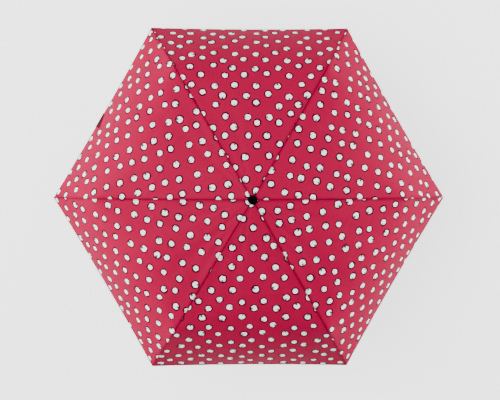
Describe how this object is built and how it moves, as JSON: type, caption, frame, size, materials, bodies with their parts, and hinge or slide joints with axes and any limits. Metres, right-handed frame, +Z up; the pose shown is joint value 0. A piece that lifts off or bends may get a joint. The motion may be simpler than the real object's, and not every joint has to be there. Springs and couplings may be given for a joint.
{
  "type": "children's folding umbrella",
  "caption": "Open children's folding umbrella: six-sided dotted canopy on folding ribs, sliding runner, telescopic shaft and short round handle.",
  "frame": {"origin": "centre of the handle's bottom face", "axes": "+Z up the shaft to the cap, +X towards the first rib tip"},
  "size_m": [0.8862, 0.768, 0.5341],
  "materials": {
    "grip_plastic": "matt",
    "cap_plastic": "matt",
    "black_plastic": "moulded",
    "button_plastic": "moulded",
    "tip_plastic": "moulded",
    "bright_steel": "plated",
    "rib_steel": "plated",
    "canopy_fabric": "printed with pale dots",
    "strap_fabric": "plain"
  },
  "bodies": {
    "handle_body": {"handle": "grip_plastic", "handle_end_cap": "grip_plastic", "handle_collar": "bright_steel", "lower_tube": "bright_steel"},
    "middle_stage": {"middle_tube": "bright_steel", "middle_collar": "black_plastic"},
    "crown_body": {"upper_tube": "bright_steel", "upper_collar": "black_plastic", "crown": "black_plastic", "crown_wire": "rib_steel", "crown_pin": "rib_steel", "crown_lid": "black_plastic", "top_cap": "cap_plastic", "canopy": "canopy_fabric", "closing_strap": "strap_fabric"},
    "runner_body": {"runner": "black_plastic", "runner_wire": "rib_steel"},
    "button_body": {"runner_button": "button_plastic"},
    "top_rib_body_1": {"top_rib_1": "rib_steel"},
    "stretcher_body_1": {"stretcher_1": "rib_steel"},
    "middle_rib_body_1": {"middle_rib_1": "rib_steel"},
    "outer_rib_body_1": {"outer_rib_1": "rib_steel", "rib_tip_1": "tip_plastic"},
    "control_rod_body_1": {"control_rod_1": "rib_steel"},
    "wire_link_body_1": {"wire_link_1": "rib_steel"},
    "top_rib_body_2": {"top_rib_2": "rib_steel"},
    "stretcher_body_2": {"stretcher_2": "rib_steel"},
    "middle_rib_body_2": {"middle_rib_2": "rib_steel"},
    "outer_rib_body_2": {"outer_rib_2": "rib_steel", "rib_tip_2": "tip_plastic"},
    "control_rod_body_2": {"control_rod_2": "rib_steel"},
    "wire_link_body_2": {"wire_link_2": "rib_steel"},
    "top_rib_body_3": {"top_rib_3": "rib_steel"},
    "stretcher_body_3": {"stretcher_3": "rib_steel"},
    "middle_rib_body_3": {"middle_rib_3": "rib_steel"},
    "outer_rib_body_3": {"outer_rib_3": "rib_steel", "rib_tip_3": "tip_plastic"},
    "control_rod_body_3": {"control_rod_3": "rib_steel"},
    "wire_link_body_3": {"wire_link_3": "rib_steel"},
    "top_rib_body_4": {"top_rib_4": "rib_steel"},
    "stretcher_body_4": {"stretcher_4": "rib_steel"},
    "middle_rib_body_4": {"middle_rib_4": "rib_steel"},
    "outer_rib_body_4": {"outer_rib_4": "rib_steel", "rib_tip_4": "tip_plastic"},
    "control_rod_body_4": {"control_rod_4": "rib_steel"},
    "wire_link_body_4": {"wire_link_4": "rib_steel"},
    "top_rib_body_5": {"top_rib_5": "rib_steel"},
    "stretcher_body_5": {"stretcher_5": "rib_steel"},
    "middle_rib_body_5": {"middle_rib_5": "rib_steel"},
    "outer_rib_body_5": {"outer_rib_5": "rib_steel", "rib_tip_5": "tip_plastic"},
    "control_rod_body_5": {"control_rod_5": "rib_steel"},
    "wire_link_body_5": {"wire_link_5": "rib_steel"},
    "top_rib_body_6": {"top_rib_6": "rib_steel"},
    "stretcher_body_6": {"stretcher_6": "rib_steel"},
    "middle_rib_body_6": {"middle_rib_6": "rib_steel"},
    "outer_rib_body_6": {"outer_rib_6": "rib_steel", "rib_tip_6": "tip_plastic"},
    "control_rod_body_6": {"control_rod_6": "rib_steel"},
    "wire_link_body_6": {"wire_link_6": "rib_steel"}
  },
  "joints": [
    {"name": "lower_stage_slide", "type": "slide", "parent": "handle_body", "child": "middle_stage", "axis": [0, 0, 1], "range_m": [-0.124, 0]},
    {"name": "upper_stage_slide", "type": "slide", "parent": "middle_stage", "child": "crown_body", "axis": [0, 0, 1], "range_m": [-0.124, 0]},
    {"name": "runner_slide", "type": "slide", "parent": "crown_body", "child": "runner_body", "axis": [0, 0, 1], "range_m": [-0.08194, 0], "deforming": ["canopy", "closing_strap"]},
    {"name": "button_press", "type": "slide", "parent": "runner_body", "child": "button_body", "axis": [-0.866, -0.5, 0], "range_m": [0, 0.0012], "stiffness_N_per_m": 400, "springref_m": -0.001},
    {"name": "top_rib_hinge_1", "type": "hinge", "parent": "crown_body", "child": "top_rib_body_1", "pos_m": [0.0095, 0, 0.52], "axis": [0, -1, 0], "range_deg": [-77, 0]},
    {"name": "stretcher_hinge_1", "type": "hinge", "parent": "runner_body", "child": "stretcher_body_1", "pos_m": [0.009, 0, 0.43191], "axis": [0, -1, 0], "range_deg": [0, 43.04]},
    {"name": "middle_rib_hinge_1", "type": "hinge", "parent": "top_rib_body_1", "child": "middle_rib_body_1", "pos_m": [0.17638, 0, 0.48756], "axis": [0, -1, 0], "range_deg": [0, 184]},
    {"name": "outer_rib_hinge_1", "type": "hinge", "parent": "middle_rib_body_1", "child": "outer_rib_body_1", "pos_m": [0.33143, 0, 0.43113], "axis": [0, -1, 0], "range_deg": [-148, 0]},
    {"name": "control_rod_hinge_1", "type": "hinge", "parent": "middle_rib_body_1", "child": "control_rod_body_1", "pos_m": [0.17096, 0, 0.48868], "axis": [0, -1, 0], "range_deg": [-187.12, 0]},
    {"name": "wire_link_hinge_1", "type": "hinge", "parent": "top_rib_body_1", "child": "wire_link_body_1", "pos_m": [0.17105, 0, 0.48636], "axis": [0, -1, 0], "range_deg": [0, 181.91]},
    {"name": "top_rib_hinge_2", "type": "hinge", "parent": "crown_body", "child": "top_rib_body_2", "pos_m": [0.00475, 0.00823, 0.52], "axis": [0.866, -0.5, 0], "range_deg": [-77, 0]},
    {"name": "stretcher_hinge_2", "type": "hinge", "parent": "runner_body", "child": "stretcher_body_2", "pos_m": [0.0045, 0.00779, 0.43191], "axis": [0.866, -0.5, 0], "range_deg": [0, 43.04]},
    {"name": "middle_rib_hinge_2", "type": "hinge", "parent": "top_rib_body_2", "child": "middle_rib_body_2", "pos_m": [0.08819, 0.15275, 0.48756], "axis": [0.866, -0.5, 0], "range_deg": [0, 184]},
    {"name": "outer_rib_hinge_2", "type": "hinge", "parent": "middle_rib_body_2", "child": "outer_rib_body_2", "pos_m": [0.16571, 0.28702, 0.43113], "axis": [0.866, -0.5, 0], "range_deg": [-148, 0]},
    {"name": "control_rod_hinge_2", "type": "hinge", "parent": "middle_rib_body_2", "child": "control_rod_body_2", "pos_m": [0.08548, 0.14806, 0.48868], "axis": [0.866, -0.5, 0], "range_deg": [-187.12, 0]},
    {"name": "wire_link_hinge_2", "type": "hinge", "parent": "top_rib_body_2", "child": "wire_link_body_2", "pos_m": [0.08552, 0.14813, 0.48636], "axis": [0.866, -0.5, 0], "range_deg": [0, 181.91]},
    {"name": "top_rib_hinge_3", "type": "hinge", "parent": "crown_body", "child": "top_rib_body_3", "pos_m": [-0.00475, 0.00823, 0.52], "axis": [0.866, 0.5, 0], "range_deg": [-77, 0]},
    {"name": "stretcher_hinge_3", "type": "hinge", "parent": "runner_body", "child": "stretcher_body_3", "pos_m": [-0.0045, 0.00779, 0.43191], "axis": [0.866, 0.5, 0], "range_deg": [0, 43.04]},
    {"name": "middle_rib_hinge_3", "type": "hinge", "parent": "top_rib_body_3", "child": "middle_rib_body_3", "pos_m": [-0.08819, 0.15275, 0.48756], "axis": [0.866, 0.5, 0], "range_deg": [0, 184]},
    {"name": "outer_rib_hinge_3", "type": "hinge", "parent": "middle_rib_body_3", "child": "outer_rib_body_3", "pos_m": [-0.16571, 0.28702, 0.43113], "axis": [0.866, 0.5, 0], "range_deg": [-148, 0]},
    {"name": "control_rod_hinge_3", "type": "hinge", "parent": "middle_rib_body_3", "child": "control_rod_body_3", "pos_m": [-0.08548, 0.14806, 0.48868], "axis": [0.866, 0.5, 0], "range_deg": [-187.12, 0]},
    {"name": "wire_link_hinge_3", "type": "hinge", "parent": "top_rib_body_3", "child": "wire_link_body_3", "pos_m": [-0.08552, 0.14813, 0.48636], "axis": [0.866, 0.5, 0], "range_deg": [0, 181.91]},
    {"name": "top_rib_hinge_4", "type": "hinge", "parent": "crown_body", "child": "top_rib_body_4", "pos_m": [-0.0095, 0, 0.52], "axis": [0, 1, 0], "range_deg": [-77, 0]},
    {"name": "stretcher_hinge_4", "type": "hinge", "parent": "runner_body", "child": "stretcher_body_4", "pos_m": [-0.009, 0, 0.43191], "axis": [0, 1, 0], "range_deg": [0, 43.04]},
    {"name": "middle_rib_hinge_4", "type": "hinge", "parent": "top_rib_body_4", "child": "middle_rib_body_4", "pos_m": [-0.17638, 0, 0.48756], "axis": [0, 1, 0], "range_deg": [0, 184]},
    {"name": "outer_rib_hinge_4", "type": "hinge", "parent": "middle_rib_body_4", "child": "outer_rib_body_4", "pos_m": [-0.33143, 0, 0.43113], "axis": [0, 1, 0], "range_deg": [-148, 0]},
    {"name": "control_rod_hinge_4", "type": "hinge", "parent": "middle_rib_body_4", "child": "control_rod_body_4", "pos_m": [-0.17096, 0, 0.48868], "axis": [0, 1, 0], "range_deg": [-187.12, 0]},
    {"name": "wire_link_hinge_4", "type": "hinge", "parent": "top_rib_body_4", "child": "wire_link_body_4", "pos_m": [-0.17105, 0, 0.48636], "axis": [0, 1, 0], "range_deg": [0, 181.91]},
    {"name": "top_rib_hinge_5", "type": "hinge", "parent": "crown_body", "child": "top_rib_body_5", "pos_m": [-0.00475, -0.00823, 0.52], "axis": [-0.866, 0.5, 0], "range_deg": [-77, 0]},
    {"name": "stretcher_hinge_5", "type": "hinge", "parent": "runner_body", "child": "stretcher_body_5", "pos_m": [-0.0045, -0.00779, 0.43191], "axis": [-0.866, 0.5, 0], "range_deg": [0, 43.04]},
    {"name": "middle_rib_hinge_5", "type": "hinge", "parent": "top_rib_body_5", "child": "middle_rib_body_5", "pos_m": [-0.08819, -0.15275, 0.48756], "axis": [-0.866, 0.5, 0], "range_deg": [0, 184]},
    {"name": "outer_rib_hinge_5", "type": "hinge", "parent": "middle_rib_body_5", "child": "outer_rib_body_5", "pos_m": [-0.16571, -0.28702, 0.43113], "axis": [-0.866, 0.5, 0], "range_deg": [-148, 0]},
    {"name": "control_rod_hinge_5", "type": "hinge", "parent": "middle_rib_body_5", "child": "control_rod_body_5", "pos_m": [-0.08548, -0.14806, 0.48868], "axis": [-0.866, 0.5, 0], "range_deg": [-187.12, 0]},
    {"name": "wire_link_hinge_5", "type": "hinge", "parent": "top_rib_body_5", "child": "wire_link_body_5", "pos_m": [-0.08552, -0.14813, 0.48636], "axis": [-0.866, 0.5, 0], "range_deg": [0, 181.91]},
    {"name": "top_rib_hinge_6", "type": "hinge", "parent": "crown_body", "child": "top_rib_body_6", "pos_m": [0.00475, -0.00823, 0.52], "axis": [-0.866, -0.5, 0], "range_deg": [-77, 0]},
    {"name": "stretcher_hinge_6", "type": "hinge", "parent": "runner_body", "child": "stretcher_body_6", "pos_m": [0.0045, -0.00779, 0.43191], "axis": [-0.866, -0.5, 0], "range_deg": [0, 43.04]},
    {"name": "middle_rib_hinge_6", "type": "hinge", "parent": "top_rib_body_6", "child": "middle_rib_body_6", "pos_m": [0.08819, -0.15275, 0.48756], "axis": [-0.866, -0.5, 0], "range_deg": [0, 184]},
    {"name": "outer_rib_hinge_6", "type": "hinge", "parent": "middle_rib_body_6", "child": "outer_rib_body_6", "pos_m": [0.16571, -0.28702, 0.43113], "axis": [-0.866, -0.5, 0], "range_deg": [-148, 0]},
    {"name": "control_rod_hinge_6", "type": "hinge", "parent": "middle_rib_body_6", "child": "control_rod_body_6", "pos_m": [0.08548, -0.14806, 0.48868], "axis": [-0.866, -0.5, 0], "range_deg": [-187.12, 0]},
    {"name": "wire_link_hinge_6", "type": "hinge", "parent": "top_rib_body_6", "child": "wire_link_body_6", "pos_m": [0.08552, -0.14813, 0.48636], "axis": [-0.866, -0.5, 0], "range_deg": [0, 181.91]}
  ],
  "couplings": [
    {"joint": "top_rib_hinge_1", "follows": "runner_slide", "rad_per_m": 16.401},
    {"joint": "stretcher_hinge_1", "follows": "runner_slide", "rad_per_m": -9.1679},
    {"joint": "middle_rib_hinge_1", "follows": "runner_slide", "rad_per_m": -39.193},
    {"joint": "outer_rib_hinge_1", "follows": "runner_slide", "rad_per_m": 31.525},
    {"joint": "control_rod_hinge_1", "follows": "runner_slide", "rad_per_m": 39.857},
    {"joint": "wire_link_hinge_1", "follows": "runner_slide", "rad_per_m": -38.748},
    {"joint": "top_rib_hinge_2", "follows": "runner_slide", "rad_per_m": 16.401},
    {"joint": "stretcher_hinge_2", "follows": "runner_slide", "rad_per_m": -9.1679},
    {"joint": "middle_rib_hinge_2", "follows": "runner_slide", "rad_per_m": -39.193},
    {"joint": "outer_rib_hinge_2", "follows": "runner_slide", "rad_per_m": 31.525},
    {"joint": "control_rod_hinge_2", "follows": "runner_slide", "rad_per_m": 39.857},
    {"joint": "wire_link_hinge_2", "follows": "runner_slide", "rad_per_m": -38.748},
    {"joint": "top_rib_hinge_3", "follows": "runner_slide", "rad_per_m": 16.401},
    {"joint": "stretcher_hinge_3", "follows": "runner_slide", "rad_per_m": -9.1679},
    {"joint": "middle_rib_hinge_3", "follows": "runner_slide", "rad_per_m": -39.193},
    {"joint": "outer_rib_hinge_3", "follows": "runner_slide", "rad_per_m": 31.525},
    {"joint": "control_rod_hinge_3", "follows": "runner_slide", "rad_per_m": 39.857},
    {"joint": "wire_link_hinge_3", "follows": "runner_slide", "rad_per_m": -38.748},
    {"joint": "top_rib_hinge_4", "follows": "runner_slide", "rad_per_m": 16.401},
    {"joint": "stretcher_hinge_4", "follows": "runner_slide", "rad_per_m": -9.1679},
    {"joint": "middle_rib_hinge_4", "follows": "runner_slide", "rad_per_m": -39.193},
    {"joint": "outer_rib_hinge_4", "follows": "runner_slide", "rad_per_m": 31.525},
    {"joint": "control_rod_hinge_4", "follows": "runner_slide", "rad_per_m": 39.857},
    {"joint": "wire_link_hinge_4", "follows": "runner_slide", "rad_per_m": -38.748},
    {"joint": "top_rib_hinge_5", "follows": "runner_slide", "rad_per_m": 16.401},
    {"joint": "stretcher_hinge_5", "follows": "runner_slide", "rad_per_m": -9.1679},
    {"joint": "middle_rib_hinge_5", "follows": "runner_slide", "rad_per_m": -39.193},
    {"joint": "outer_rib_hinge_5", "follows": "runner_slide", "rad_per_m": 31.525},
    {"joint": "control_rod_hinge_5", "follows": "runner_slide", "rad_per_m": 39.857},
    {"joint": "wire_link_hinge_5", "follows": "runner_slide", "rad_per_m": -38.748},
    {"joint": "top_rib_hinge_6", "follows": "runner_slide", "rad_per_m": 16.401},
    {"joint": "stretcher_hinge_6", "follows": "runner_slide", "rad_per_m": -9.1679},
    {"joint": "middle_rib_hinge_6", "follows": "runner_slide", "rad_per_m": -39.193},
    {"joint": "outer_rib_hinge_6", "follows": "runner_slide", "rad_per_m": 31.525},
    {"joint": "control_rod_hinge_6", "follows": "runner_slide", "rad_per_m": 39.857},
    {"joint": "wire_link_hinge_6", "follows": "runner_slide", "rad_per_m": -38.748}
  ]
}
